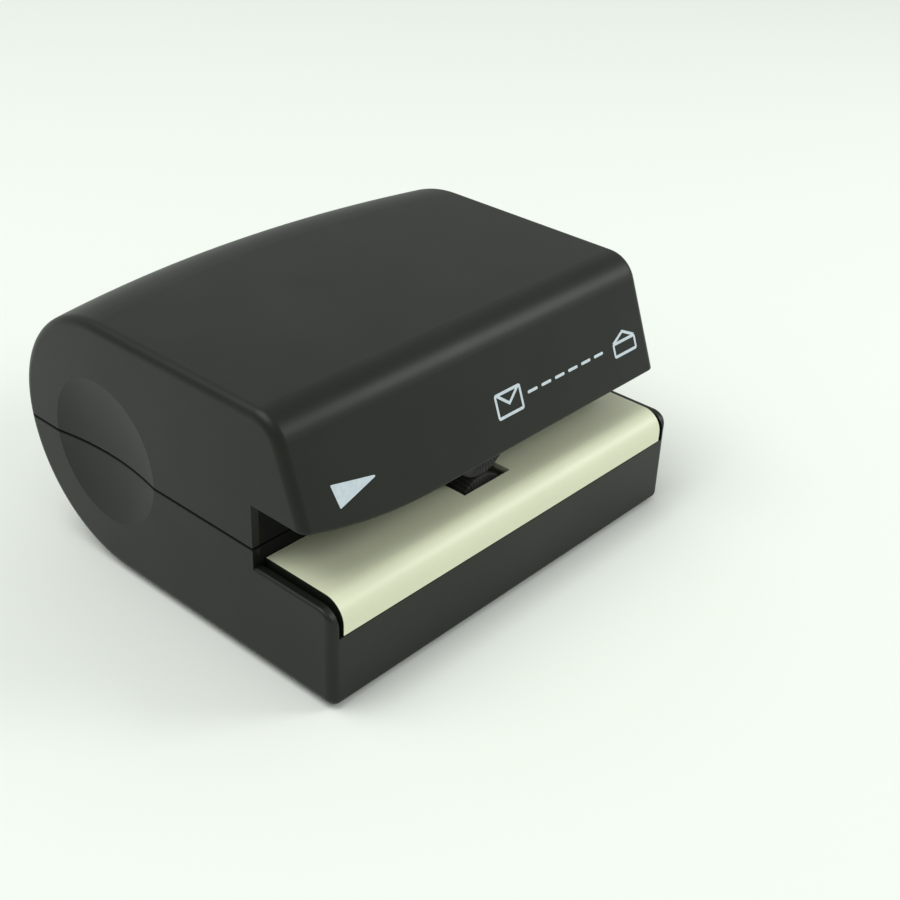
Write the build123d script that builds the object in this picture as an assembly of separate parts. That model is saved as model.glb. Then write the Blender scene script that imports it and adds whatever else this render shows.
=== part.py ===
"""Battery-powered electric letter opener, as an assembly of separate pieces (millimetres).

Frame while modelling: X runs the way a letter travels, from the entry end (negative) to the exit
end (positive). Y is the depth behind the front face, and Z the height above the underside of the
shells. At the end every piece is moved together, so that the origin is the bottom centre of the box.
"""
import os
from math import acos, atan, cos, degrees, hypot, pi, radians, sin, sqrt

from build123d import *

# ---- whole machine
LENGTH = 135.0              # along the feed direction
DEPTH = 126.5               # front face to the rearmost point, at mid-length
HEIGHT = 72.0               # underside of the shell to its top
REAR_HEIGHT = 38.0          # height of the rearmost line, where the two rear arcs meet
BOW = 7.5                   # how far the back stands out at mid-length, against the ends
WALL = 2.4                  # wall of both shells
END_ROUND = 2.6             # rounding round both end faces
BASE_ROUND = 1.5            # rounding along the lower front edge
FIT = 0.15                  # clearance between pieces that slip together

# ---- seam between the two shells
SEAM_HEIGHT = 33.4
SEAM_GAP = 0.5              # dark line that shows between the shells
LIP_THICKNESS = 1.2
LIP_HEIGHT = 1.6            # how far the lower shell's lip stands inside the upper shell
LIP_ROOT = 3.0              # how far its root reaches down inside the lower shell

# ---- finger dishes in the end faces
DISH_DIAMETER = 41.0
DISH_DEPTH = 2.2
DISH_Y = 85.0
DISH_HEIGHT = 35.0

# ---- throat and jaw
THROAT_DEPTH = 27.0         # front face to the fence that guides the letter's edge
FENCE_THICKNESS = 2.0
FENCE_RISE = 1.6            # how far the upper fence reaches above the guide plate
JAW_HEIGHT = 40.2           # lower edge of the jaw
JAW_Y = 6.6                 # front face of the jaw at its lower edge
JAW_CROWN_Y = 18.7          # where that face would meet the top, without the rounding
JAW_ROUND = 9.5             # rounding along the front of the top
FLARE_RUN = 42.0            # length of the lead-in at the entry end
FLARE_RADIUS = 160.0
JAW_EDGE_ROUND = 0.6        # along the lower front edge

# ---- guide plate that closes the jaw from below
GUIDE_THICKNESS = 1.8
GUIDE_RECESS = 0.6          # step up from the jaw's lower edge
GUIDE_BRIDGE = 5.0          # height of the rib that crosses in front of the upper roller
GUIDE_SCREW_Y = 19.0
GUIDE_PAD_RADIUS = 3.6
ROLLER_CLEARANCE = 1.2      # round the rollers and knives, in every window

# ---- tray bay and chip tray
BAY_WALL_HEIGHT = 28.0      # top of the side walls beside the tray
BAY_NOSE = 5.0              # rounding at their front corner
BAY_EDGE_ROUND = 0.9        # along their outer top edges
TRAY_TOP = 29.3
TRAY_BOTTOM = 20.4
TRAY_NOSE = 6.0             # rounding along the tray's front edge
TRAY_WALL = 1.6
TRAY_SIDE_GAP = 1.4         # dark gap beside the tray
TRAY_GAP = 0.3              # running clearance under and behind the tray
RUNNER_HEIGHT = 2.4         # side ribs that guide the tray
SHELF_THICKNESS = 1.8
CHIP_SLOT_WIDTH = 6.4
CHIP_SLOT_LENGTH = 44.0

# ---- feed rollers and round knives
SHAFT_RADIUS = 2.0
SHAFT_FRONT_Y = 12.5
LOWER_ROLLER_RADIUS = 9.7
UPPER_ROLLER_RADIUS = 10.4
ROLLER_GAP = 0.3
NIP_HEIGHT = 30.45          # height at which the two rollers meet
ROLLER_FRONT_Y = 13.5
ROLLER_WIDTH = 9.5
TYRE_THICKNESS = 3.2
TYRE_ROUND = 0.5
STRIP_WIDTH = 1.4           # width cut off the letter
KNIFE_THICKNESS = 1.0
KNIFE_LAP = 0.8             # how far the two discs overlap
KNIFE_GAP = 0.05
KNIFE_BEVEL = 0.7
KNIFE_HUB_RADIUS = 4.2
RUNNING_FIT = 0.03          # radial clearance of every turning fit

# ---- gears
SYNC_TEETH = 24             # pair that turns the two shafts together
IDLER_TEETH = 12
WHEEL_TEETH = 48
PINION_TEETH = 12
DRIVE_MODULE = 0.5          # motor pinion and the idler's large wheel
PRESSURE_ANGLE = radians(20)
ADDENDUM = 0.75             # in modules
DEDENDUM = 1.1
BACKLASH = 0.12
SYNC_WIDTH = 4.0
WHEEL_WIDTH = 3.0
GEAR_STEP = 1.0             # axial space between the two gear stations
GEAR_MARGIN = 1.5           # axial space between a gear and a plate
IDLER_DIRECTION = 25.0      # degrees, from the lower shaft to the idler
MOTOR_DIRECTION = 35.0      # degrees, from the idler to the motor
AXLE_RADIUS = 1.5

# ---- mechanism frame
PLATE_THICKNESS = 1.5
PLATE_SETBACK = 2.0         # space between the fence and the front plate
PLATE_LEFT = -18.0
PLATE_RIGHT = 42.0
PLATE_TOP = 54.0
PLATE_BOTTOM = 6.0
PLATE_ROUND = 4.0
FLANGE_DEPTH = 5.0
SPACER_RADIUS = 2.4
SPACER_INSET = 4.2
BUSH_RADIUS = 3.4
BUSH_FLANGE_RADIUS = 4.4
BUSH_FLANGE = 0.8
CLIP_RADIUS = 3.6
CLIP_THICKNESS = 0.6
CLIP_GROOVE = 0.5           # depth of the groove that the clip sits in
SHAFT_TAIL = 2.4            # length of a shaft behind the rear plate

# ---- screws
SCREW_RADIUS = 1.1
SCREW_HEAD_RADIUS = 2.1
SCREW_HEAD = 1.3
SCREW_LENGTH = 5.0          # below the head
POST_RADIUS = 2.6
CASE_SCREW_RADIUS = 1.5
CASE_SCREW_HEAD_RADIUS = 2.8
CASE_SCREW_HEAD = 2.0
CASE_SCREW_GRIP = 9.0       # height of lower boss between the head and the seam
CASE_SCREW_BITE = 10.0      # length in the upper boss
CASE_BOSS_WALL = 1.3
CASE_SCREW_INSET = 10.5     # from the end faces
CASE_FRONT_Y = 37.0
CASE_REAR_Y = 99.0
DRIVER_SLOT = 0.7           # width and depth of a screw's cross
DRIVER_SPAN = 1.3           # its length, in radii of the head
SPACER_SCREW_BITE = 4.0     # length inside a spacer

# ---- motor
MOTOR_RADIUS = 12.0
MOTOR_FLAT = 9.6            # centre to each flat side
MOTOR_LENGTH = 27.0
MOTOR_WALL = 1.0
MOTOR_BOSS_RADIUS = 3.0
MOTOR_SHAFT_RADIUS = 1.0
MOTOR_CAP = 3.0
MOTOR_SCREW_REACH = 8.0     # centre to each fixing screw
ARMATURE_RADIUS = 7.5
ARMATURE_SPACE = 3.0        # free length at each end of the armature
TERMINAL = (0.5, 3.0, 2.4)  # thickness, length and width of a motor tag

# ---- sensor lever and switch
LEVER_X = -24.0
LEVER_HEIGHT = 48.0         # height of its pin
LEVER_WIDTH = 4.4
LEVER_THICKNESS = 2.0
LEVER_CLEARANCE = 2.6       # under the lever's tip, above the tray
LEVER_FINGER_REACH = 3.5
LEVER_FINGER_RADIUS = 0.8
LEVER_HUB_RADIUS = 2.1
LEVER_SWING = 28.0          # degrees
LEVER_PIN_RADIUS = 0.9
EAR_THICKNESS = 1.6
EAR_RADIUS = 2.4
SWITCH_LENGTH = 12.8
SWITCH_WIDTH = 5.8
SWITCH_BODY_HEIGHT = 6.5
SWITCH_SETBACK = 2.3        # switch body to the pressing finger
SWITCH_CLEARANCE = 0.9      # switch body to the inside of the jaw's sloping face
PLUNGER_RADIUS = 0.9
PLUNGER_GAP = 0.15
PLUNGER_LENGTH = 4.6
SWITCH_SCREW_RADIUS = 0.8
SWITCH_SCREW_HEAD_RADIUS = 1.5
SWITCH_SCREW_SPACING = 6.5

# ---- cells, tub and door
CELL_RADIUS = 7.25
CELL_LENGTH = 50.5          # over the raised end
CELL_NUB_RADIUS = 2.7
CELL_NUB = 1.0
CELL_ROUND = 0.6
CELL_PITCH = 15.5           # between the two rows
CELL_ROWS_Y = 67.0          # middle of the two rows
CELL_HEADROOM = 0.4
CONTACT_SPACE = 2.2         # between a cell's end and the tub
CONTACT_THICKNESS = 0.5
CONTACT_RADIUS = 2.6
TUB_WALL = 1.5
TUB_LUG_HEIGHT = 7.0
TUB_LUG_LENGTH = 8.0
TUB_LUG_WIDTH = 8.0
DOOR_THICKNESS = 1.8
DOOR_GAP = 0.4
DOOR_BARREL_RADIUS = 1.6
DOOR_PIN_RADIUS = 0.9
DOOR_PIN_LENGTH = 2.6
DOOR_EAR_LENGTH = 3.2
DOOR_GRIP_RADIUS = 7.0
DOOR_GRIP_DEPTH = 0.8

# ---- feet
FOOT_RADIUS = 4.0
FOOT_HEIGHT = 1.0           # how far the feet stand proud
FOOT_RECESS = 0.8
FOOT_MARGIN = 0.6           # from a foot's edge to the roundings of the shell
FOOT_FRONT_Y = 12.0

# ---- lines of the outer form
HALF = LENGTH / 2
BOW_RADIUS = (HALF**2 + BOW**2) / (2 * BOW)
JAW_SLOPE = atan((JAW_CROWN_Y - JAW_Y) / (HEIGHT - JAW_HEIGHT))


def jaw_line_y(height):
    """Depth of the sloping front face of the jaw at a height."""
    return JAW_CROWN_Y - (HEIGHT - height) * (JAW_CROWN_Y - JAW_Y) / (HEIGHT - JAW_HEIGHT)


def flare_rise(run):
    """How far the ceiling of the throat has risen, so far along the lead-in."""
    return FLARE_RADIUS - sqrt(FLARE_RADIUS**2 - run**2)


def underside_rise(x, y):
    """How far the underside has curved up at a place, towards the bowed back."""
    beyond = hypot(x, y - (DEPTH - BOW_RADIUS)) - (BOW_RADIUS - REAR_HEIGHT)
    return REAR_HEIGHT - sqrt(REAR_HEIGHT**2 - max(0.0, beyond) ** 2)


# ---- places worked out from the sizes above
FENCE_BACK_Y = THROAT_DEPTH + FENCE_THICKNESS
FLARE_START_X = -HALF + FLARE_RUN
GUIDE_HEIGHT = JAW_HEIGHT + GUIDE_RECESS
UPPER_FENCE_TOP = GUIDE_HEIGHT + flare_rise(FLARE_RUN) + GUIDE_THICKNESS + FENCE_RISE
BAY_HALF = HALF - WALL
TRAY_HALF = BAY_HALF - TRAY_SIDE_GAP
TRAY_BACK_Y = THROAT_DEPTH - TRAY_GAP
SHELF_TOP = TRAY_BOTTOM - TRAY_GAP

LOWER_SHAFT_Z = NIP_HEIGHT - ROLLER_GAP / 2 - LOWER_ROLLER_RADIUS
UPPER_SHAFT_Z = NIP_HEIGHT + ROLLER_GAP / 2 + UPPER_ROLLER_RADIUS
SHAFT_DISTANCE = UPPER_SHAFT_Z - LOWER_SHAFT_Z
KNIFE_RADIUS = (SHAFT_DISTANCE + KNIFE_LAP) / 2
CUT_Y = THROAT_DEPTH - STRIP_WIDTH
PIT_FRONT_Y = SHAFT_FRONT_Y - ROLLER_CLEARANCE
LOWER_PIT_HALF = max(LOWER_ROLLER_RADIUS, KNIFE_RADIUS) + ROLLER_CLEARANCE
UPPER_PIT_HALF = max(UPPER_ROLLER_RADIUS, KNIFE_RADIUS) + ROLLER_CLEARANCE

SWITCH_FACE_X = LEVER_X - LEVER_FINGER_RADIUS - SWITCH_SETBACK
SWITCH_Z = LEVER_HEIGHT + LEVER_FINGER_REACH
SWITCH_TOP = SWITCH_Z + SWITCH_BODY_HEIGHT / 2
LEVER_Y = jaw_line_y(SWITCH_TOP) + WALL / cos(JAW_SLOPE) + SWITCH_CLEARANCE + SWITCH_WIDTH / 2
PLUNGER_TIP_X = LEVER_X - LEVER_FINGER_RADIUS - PLUNGER_GAP
PLUNGER_TRAVEL = LEVER_FINGER_REACH * radians(LEVER_SWING)
SWITCH_SCREW_X = [
    SWITCH_FACE_X - SWITCH_LENGTH / 2 + side * SWITCH_SCREW_SPACING / 2 for side in (-1, 1)
]
SWITCH_SCREW_Z = SWITCH_Z - SWITCH_BODY_HEIGHT / 2 + SWITCH_SCREW_HEAD_RADIUS

SYNC_MODULE = SHAFT_DISTANCE / SYNC_TEETH
FRONT_PLATE_Y = FENCE_BACK_Y + PLATE_SETBACK
SYNC_Y = FRONT_PLATE_Y + PLATE_THICKNESS + GEAR_MARGIN
WHEEL_Y = SYNC_Y + SYNC_WIDTH + GEAR_STEP
REAR_PLATE_Y = WHEEL_Y + WHEEL_WIDTH + GEAR_MARGIN
REAR_PLATE_BACK_Y = REAR_PLATE_Y + PLATE_THICKNESS
SHAFT_BACK_Y = REAR_PLATE_BACK_Y + SHAFT_TAIL
IDLER_DISTANCE = SYNC_MODULE * (SYNC_TEETH + IDLER_TEETH) / 2
IDLER_X = IDLER_DISTANCE * cos(radians(IDLER_DIRECTION))
IDLER_Z = LOWER_SHAFT_Z + IDLER_DISTANCE * sin(radians(IDLER_DIRECTION))
MOTOR_DISTANCE = DRIVE_MODULE * (WHEEL_TEETH + PINION_TEETH) / 2
MOTOR_X = IDLER_X + MOTOR_DISTANCE * cos(radians(MOTOR_DIRECTION))
MOTOR_Z = IDLER_Z + MOTOR_DISTANCE * sin(radians(MOTOR_DIRECTION))
MOTOR_BACK_Y = REAR_PLATE_BACK_Y + MOTOR_LENGTH
SPACER_PLACES = [
    (x, z)
    for x in (PLATE_LEFT + SPACER_INSET, PLATE_RIGHT - SPACER_INSET)
    for z in (PLATE_BOTTOM + PLATE_THICKNESS + SPACER_INSET, PLATE_TOP - SPACER_INSET)
]
FLANGE_PLACES = [
    (x, y)
    for x in (PLATE_LEFT + 2 * SPACER_INSET, PLATE_RIGHT - 2 * SPACER_INSET)
    for y in (FRONT_PLATE_Y + PLATE_THICKNESS + FLANGE_DEPTH / 2, REAR_PLATE_Y - FLANGE_DEPTH / 2)
]

TUB_HALF = CELL_LENGTH + CONTACT_SPACE
TUB_FRONT_Y = CELL_ROWS_Y - CELL_PITCH / 2 - CELL_RADIUS - 2 * CELL_HEADROOM
TUB_BACK_Y = CELL_ROWS_Y + CELL_PITCH / 2 + CELL_RADIUS + 2 * CELL_HEADROOM
CELL_Z = DOOR_THICKNESS + CELL_HEADROOM + CELL_RADIUS
TUB_CEILING = CELL_Z + CELL_RADIUS + CELL_HEADROOM
DOOR_AXIS_Y = TUB_FRONT_Y + DOOR_GAP + DOOR_BARREL_RADIUS
DOOR_AXIS_Z = DOOR_BARREL_RADIUS
EAR_START_X = TUB_HALF + FIT
TUB_LUG_PLACES = [
    (side * (TUB_HALF - TUB_LUG_LENGTH / 2), TUB_FRONT_Y - TUB_WALL - TUB_LUG_WIDTH / 2) for side in (-1, 1)
]
CASE_SCREW_PLACES = [
    (side * (HALF - CASE_SCREW_INSET), y) for side in (-1, 1) for y in (CASE_FRONT_Y, CASE_REAR_Y)
]
GUIDE_SCREW_PLACES = [(side * (HALF - CASE_SCREW_INSET), GUIDE_SCREW_Y) for side in (-1, 1)]
CASE_HEAD_SEAT = SEAM_HEIGHT - CASE_SCREW_GRIP
FOOT_FRONT_X = HALF - END_ROUND - FOOT_MARGIN - FOOT_RADIUS
FOOT_REAR_X = TUB_HALF - 2 * FOOT_RADIUS
FOOT_REAR_Y = TUB_BACK_Y + FOOT_MARGIN + FOOT_RADIUS
FOOT_PLACES = [
    (side * x, y, underside_rise(x, y) + FOOT_RECESS)
    for side in (-1, 1)
    for x, y in ((FOOT_FRONT_X, FOOT_FRONT_Y), (FOOT_REAR_X, FOOT_REAR_Y))
]
BIG = 4 * LENGTH            # size of cutting blocks


# ---- small helpers
def block(x0, x1, y0, y1, z0, z1):
    """A box between two corners."""
    return Pos((x0 + x1) / 2, (y0 + y1) / 2, (z0 + z1) / 2) * Box(x1 - x0, y1 - y0, z1 - z0)


def rod_z(radius, z0, z1, x, y):
    return Pos(x, y, z0) * Cylinder(radius, z1 - z0, align=(Align.CENTER, Align.CENTER, Align.MIN))


def rod_x(radius, x0, x1, y, z):
    return Pos(x0, y, z) * Rot(0, 90, 0) * rod_z(radius, 0, x1 - x0, 0, 0)


def rod_y(radius, y0, y1, x=0.0, z=0.0):
    return Pos(x, y0, z) * Rot(-90, 0, 0) * rod_z(radius, 0, y1 - y0, 0, 0)


def along_x(face, x0, x1):
    """A face drawn with (y, z) points, carried along X."""
    return Pos(x0, 0, 0) * extrude(Plane.YZ * face, x1 - x0)


def along_y(face, y0, y1):
    """A face drawn with (x, z) points, carried along Y."""
    return Pos(0, y1, 0) * extrude(Plane.XZ * face, y1 - y0)


def group(solids):
    """Separate solids that share one node."""
    return Compound(children=list(solids))


# ---- outer form
def bowed_back(inset):
    """The top, the rounded back and the underside: two arcs turned about a far upright axis."""
    radius_low = REAR_HEIGHT - inset
    radius_high = HEIGHT - REAR_HEIGHT - inset
    low_y = DEPTH - REAR_HEIGHT
    high_y = DEPTH - (HEIGHT - REAR_HEIGHT)
    start_y = -DEPTH / 4
    rear = (DEPTH - inset, REAR_HEIGHT)
    top_end = (high_y, HEIGHT - inset)
    bottom_end = (low_y, inset)
    diagonal = sqrt(0.5)
    outline = [
        Line((start_y, inset), bottom_end),
        ThreePointArc(bottom_end, (low_y + radius_low * diagonal, REAR_HEIGHT - radius_low * diagonal), rear),
        ThreePointArc(rear, (high_y + radius_high * diagonal, REAR_HEIGHT + radius_high * diagonal), top_end),
        Line(top_end, (start_y, HEIGHT - inset)),
        Line((start_y, HEIGHT - inset), (start_y, inset)),
    ]
    axis = Axis((0, DEPTH - BOW_RADIUS, 0), (0, 0, 1))
    half_turn = degrees(atan(LENGTH / (BOW_RADIUS - DEPTH)))
    turned = revolve(Plane.YZ * make_face(outline), axis, 2 * half_turn)
    return turned.rotate(axis, -half_turn)


def upper_front(inset):
    """The jaw's sloping front and rounded crown, carried along the length."""
    low = THROAT_DEPTH / 2
    shift = inset / cos(JAW_SLOPE)
    top = HEIGHT - inset
    crown = (jaw_line_y(top) + shift, top)
    outline = make_face(Polyline(
        (jaw_line_y(low) + shift, low), crown, (2 * DEPTH, top), (2 * DEPTH, low), close=True))
    corner = outline.vertices().sort_by_distance((*crown, 0))[0]
    return along_x(fillet(corner, JAW_ROUND - inset), -LENGTH, LENGTH)


def lower_front(inset):
    """The upright front of the lower shell, with its rounded bottom edge."""
    outline = make_face(Polyline(
        (inset, inset), (inset, HEIGHT), (2 * DEPTH, HEIGHT), (2 * DEPTH, inset), close=True))
    if inset < BASE_ROUND:
        corner = outline.vertices().sort_by_distance((inset, inset, 0))[0]
        outline = fillet(corner, BASE_ROUND - inset)
    return along_x(outline, -LENGTH, LENGTH)


def dishes(thickness):
    """The two finger dishes: balls that dip into the end faces, grown by a wall's thickness."""
    ball = ((DISH_DIAMETER / 2) ** 2 + DISH_DEPTH**2) / (2 * DISH_DEPTH)
    reach = HALF + ball - DISH_DEPTH
    return [
        Pos(side * reach, DISH_Y, DISH_HEIGHT) * Rot(0, 0, 90 - 90 * side) * Sphere(ball + thickness)
        for side in (-1, 1)]


def outer_form(front):
    """A shell's outside before its dishes, with the edges of both end faces rounded."""
    form = front(0) & bowed_back(0) & Box(LENGTH, BIG, BIG)
    edges = form.edges().group_by(Axis.X)
    return fillet(edges[0] + edges[-1], END_ROUND)


def inner_form(front, inset):
    """The same form further in, with square end edges."""
    return front(inset) & bowed_back(inset) & Box(LENGTH - 2 * inset, BIG, BIG)


def hollow_form(front, low, high):
    """The wall between the two forms from one height to another, dished and backed at both ends."""
    slab = block(-LENGTH, LENGTH, -DEPTH, 2 * DEPTH, low, high)
    shell = (outer_form(front) - inner_form(front, WALL)) & slab
    core = Box(LENGTH - WALL, BIG, BIG)
    for backing in dishes(WALL):
        shell += backing & core & slab
    for dish in dishes(0):
        shell -= dish
    return shell


def throat_ceiling(height, y0, y1, depth_below):
    """The space under the jaw, flat and then flaring up towards the entry end."""
    rise = flare_rise(FLARE_RUN)
    half_run = FLARE_RUN / 2
    entry = (-HALF, height + rise)
    start = (FLARE_START_X, height)
    floor = height - depth_below
    outline = [
        Line((LENGTH, height), start),
        ThreePointArc(start, (FLARE_START_X - half_run, height + flare_rise(half_run)), entry),
        Line(entry, (-LENGTH, height + rise)),
        Line((-LENGTH, height + rise), (-LENGTH, floor)),
        Line((-LENGTH, floor), (LENGTH, floor)),
        Line((LENGTH, floor), (LENGTH, height)),
    ]
    return along_y(make_face(outline), y0, y1)


# ---- screws and posts
def screw_down(x, y, seat, length, radius, head_radius, head):
    """An upright cross-head screw with its head on top, at a seat height."""
    screw = rod_z(radius, seat - length, seat, x, y) + rod_z(head_radius, seat, seat + head, x, y)
    return screw - cross_slot(head_radius, head).moved(Location((x, y, seat + head)))


def cross_slot(head_radius, head):
    """The cross in a screw's head, sunk from Z = 0."""
    arm = DRIVER_SPAN * head_radius
    depth = min(DRIVER_SLOT, head / 2)
    return Box(arm, DRIVER_SLOT, 2 * depth) + Box(DRIVER_SLOT, arm, 2 * depth)


def frame_screw(x, y, seat):
    return screw_down(x, y, seat, SCREW_LENGTH, SCREW_RADIUS, SCREW_HEAD_RADIUS, SCREW_HEAD)


def post(x, y, top):
    """A post on the floor of the lower shell with a hole for a screw."""
    bore_bottom = top - SCREW_LENGTH + PLATE_THICKNESS
    return rod_z(POST_RADIUS, WALL / 2, top, x, y) - rod_z(SCREW_RADIUS, bore_bottom, top, x, y)


# ---- lower shell
def lower_housing():
    """Floor, end walls, bowed back, the tray bay with its shelf, and the posts."""
    top = SEAM_HEIGHT - SEAM_GAP / 2
    inner = inner_form(lower_front, WALL)
    room = inner & block(-BIG, BIG, -BIG, BIG, -BIG, top)
    shell = hollow_form(lower_front, -HEIGHT, top)
    shell += room & block(-BIG, BIG, THROAT_DEPTH, FENCE_BACK_Y, -BIG, BIG)
    shell += room & block(-BIG, BIG, 0, THROAT_DEPTH, SHELF_TOP - SHELF_THICKNESS, SHELF_TOP)
    shell -= side_walls_cut()
    shell -= block(-BAY_HALF, BAY_HALF, -BIG, THROAT_DEPTH, SHELF_TOP, BIG)
    shell -= block(-LOWER_PIT_HALF, LOWER_PIT_HALF, PIT_FRONT_Y, THROAT_DEPTH, WALL, BIG)
    shell += runners()
    shell += seam_lip()
    for x, y in CASE_SCREW_PLACES:
        shell += case_boss(x, y) & inner
    for x, y in CASE_SCREW_PLACES:
        shell -= rod_z(CASE_SCREW_HEAD_RADIUS + FIT, -BIG, CASE_HEAD_SEAT, x, y)
        shell -= rod_z(CASE_SCREW_RADIUS + FIT, 0, HEIGHT, x, y)
    for x, y in FLANGE_PLACES:
        shell += post(x, y, PLATE_BOTTOM)
    for x, y in TUB_LUG_PLACES:
        shell += post(x, y, TUB_LUG_HEIGHT)
    shell -= door_opening()
    shell += door_ears()
    shell -= door_pin_bores()
    shell -= shaft_slot(LOWER_SHAFT_Z, BIG)
    for x, y, recess_top in FOOT_PLACES:
        shell -= rod_z(FOOT_RADIUS, -BIG, recess_top, x, y)
    return fillet(bay_wall_edges(shell), BAY_EDGE_ROUND)


def bay_wall_edges(shell):
    """The outer top edges of the low side walls."""
    return shell.edges().filter_by(
        lambda edge: abs(edge.bounding_box().max.Z - BAY_WALL_HEIGHT) < FIT
        and abs(edge.center().X) > HALF - FIT)


def side_walls_cut():
    """What is cleared above the low side walls beside the tray, rounded at the front corner."""
    corner_y = BAY_NOSE
    corner_z = BAY_WALL_HEIGHT - BAY_NOSE
    diagonal = BAY_NOSE * sqrt(0.5)
    outline = [
        Line((THROAT_DEPTH, BAY_WALL_HEIGHT), (corner_y, BAY_WALL_HEIGHT)),
        ThreePointArc(
            (corner_y, BAY_WALL_HEIGHT), (corner_y - diagonal, corner_z + diagonal), (0, corner_z)),
        Line((0, corner_z), (-WALL, corner_z)),
        Line((-WALL, corner_z), (-WALL, HEIGHT)),
        Line((-WALL, HEIGHT), (THROAT_DEPTH, HEIGHT)),
        Line((THROAT_DEPTH, HEIGHT), (THROAT_DEPTH, BAY_WALL_HEIGHT)),
    ]
    return along_x(make_face(outline), -LENGTH, LENGTH)


def runners():
    """Ribs low on the side walls that guide the tray."""
    inner = TRAY_HALF + FIT
    return group(
        block(min(side * inner, side * (BAY_HALF + FIT)), max(side * inner, side * (BAY_HALF + FIT)),
              TRAY_NOSE, THROAT_DEPTH, SHELF_TOP - FIT, SHELF_TOP + RUNNER_HEIGHT)
        for side in (-1, 1))


def seam_lip():
    """A lip that stands inside the upper shell and closes the seam to light."""
    top = SEAM_HEIGHT - SEAM_GAP / 2
    behind = block(-BIG, BIG, FENCE_BACK_Y + LIP_ROOT, BIG, -BIG, BIG)
    core = inner_form(lower_front, WALL + FIT + LIP_THICKNESS)
    root = inner_form(lower_front, WALL - FIT) & behind
    root &= block(-BIG, BIG, -BIG, BIG, SEAM_HEIGHT - LIP_ROOT, top)
    lip = inner_form(lower_front, WALL + FIT) & behind
    lip &= block(-BIG, BIG, -BIG, BIG, top, SEAM_HEIGHT + LIP_HEIGHT)
    for dish in dishes(WALL + FIT):
        lip -= dish
    return (root + lip) - core


def case_boss(x, y):
    """A lower boss, wide enough round the sunk screw head, that meets the upper boss at the seam."""
    return rod_z(CASE_SCREW_HEAD_RADIUS + FIT + CASE_BOSS_WALL, 0, SEAM_HEIGHT, x, y)


def shaft_slot(shaft_z, far_z):
    """A slot in the fence for a shaft, open towards the seam."""
    half = SHAFT_RADIUS + ROLLER_CLEARANCE / 2
    y0, y1 = THROAT_DEPTH - FIT, FENCE_BACK_Y + FIT
    slot = block(-half, half, y0, y1, min(shaft_z, SEAM_HEIGHT), max(shaft_z, SEAM_HEIGHT))
    return slot + rod_y(half, y0, y1, 0, shaft_z)


def door_opening():
    return block(-TUB_HALF, TUB_HALF, TUB_FRONT_Y, TUB_BACK_Y, -BIG, WALL + FIT)


def door_ears():
    """Lugs beside the opening that carry the door's pins."""
    half = DOOR_PIN_RADIUS + CASE_BOSS_WALL
    ears = []
    for side in (-1, 1):
        ends = sorted((side * EAR_START_X, side * (EAR_START_X + DOOR_EAR_LENGTH)))
        ear = block(*ends, DOOR_AXIS_Y - half, DOOR_AXIS_Y + half, WALL / 2, DOOR_AXIS_Z + half)
        ears.append(ear)
    return group(ears)


def door_pin_bores():
    reach = EAR_START_X + DOOR_PIN_LENGTH + FIT
    return rod_x(DOOR_PIN_RADIUS + RUNNING_FIT, -reach, reach, DOOR_AXIS_Y, DOOR_AXIS_Z)


# ---- upper shell
def upper_housing():
    """Top, rounded back, sloping jaw, the fence above the seam, and the bosses."""
    bottom = SEAM_HEIGHT + SEAM_GAP / 2
    inner = inner_form(upper_front, WALL)
    shell = hollow_form(upper_front, bottom, 2 * HEIGHT)
    fence = inner & block(-BIG, BIG, THROAT_DEPTH, FENCE_BACK_Y, bottom, UPPER_FENCE_TOP)
    shell += fence
    shell -= throat_ceiling(JAW_HEIGHT, -BIG, THROAT_DEPTH, HEIGHT)
    shell -= shaft_slot(UPPER_SHAFT_Z, -BIG)
    boss_radius = CASE_SCREW_RADIUS + FIT + CASE_BOSS_WALL
    for x, y in CASE_SCREW_PLACES:
        shell += rod_z(boss_radius, SEAM_HEIGHT, HEIGHT, x, y) & inner
    for x, y in CASE_SCREW_PLACES:
        shell -= rod_z(CASE_SCREW_RADIUS, 0, SEAM_HEIGHT + CASE_SCREW_BITE, x, y)
    for x, y in GUIDE_SCREW_PLACES:
        shell += guide_post(x, y) & inner
    return fillet(jaw_edges(shell), JAW_EDGE_ROUND)


def jaw_edges(shell):
    """The front edge of the jaw's underside, straight and then rising with the lead-in."""
    highest = JAW_HEIGHT + flare_rise(FLARE_RUN)
    return shell.edges().filter_by(
        lambda edge: edge.bounding_box().min.Y < JAW_Y + FIT and edge.bounding_box().max.Z < highest)


def guide_level(x):
    """Height of the guide plate's underside at a place along the length."""
    return GUIDE_HEIGHT + flare_rise(max(0.0, FLARE_START_X - x))


def guide_pad_top(x):
    return guide_level(x) + 2 * SCREW_HEAD + GUIDE_THICKNESS / 2


def guide_post(x, y):
    """A post that hangs from the top of the upper shell down to the guide plate's pad."""
    bottom = guide_pad_top(x)
    bore_top = bottom + SCREW_LENGTH - SCREW_HEAD
    return rod_z(POST_RADIUS, bottom, HEIGHT, x, y) - rod_z(SCREW_RADIUS, bottom, bore_top, x, y)


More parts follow.
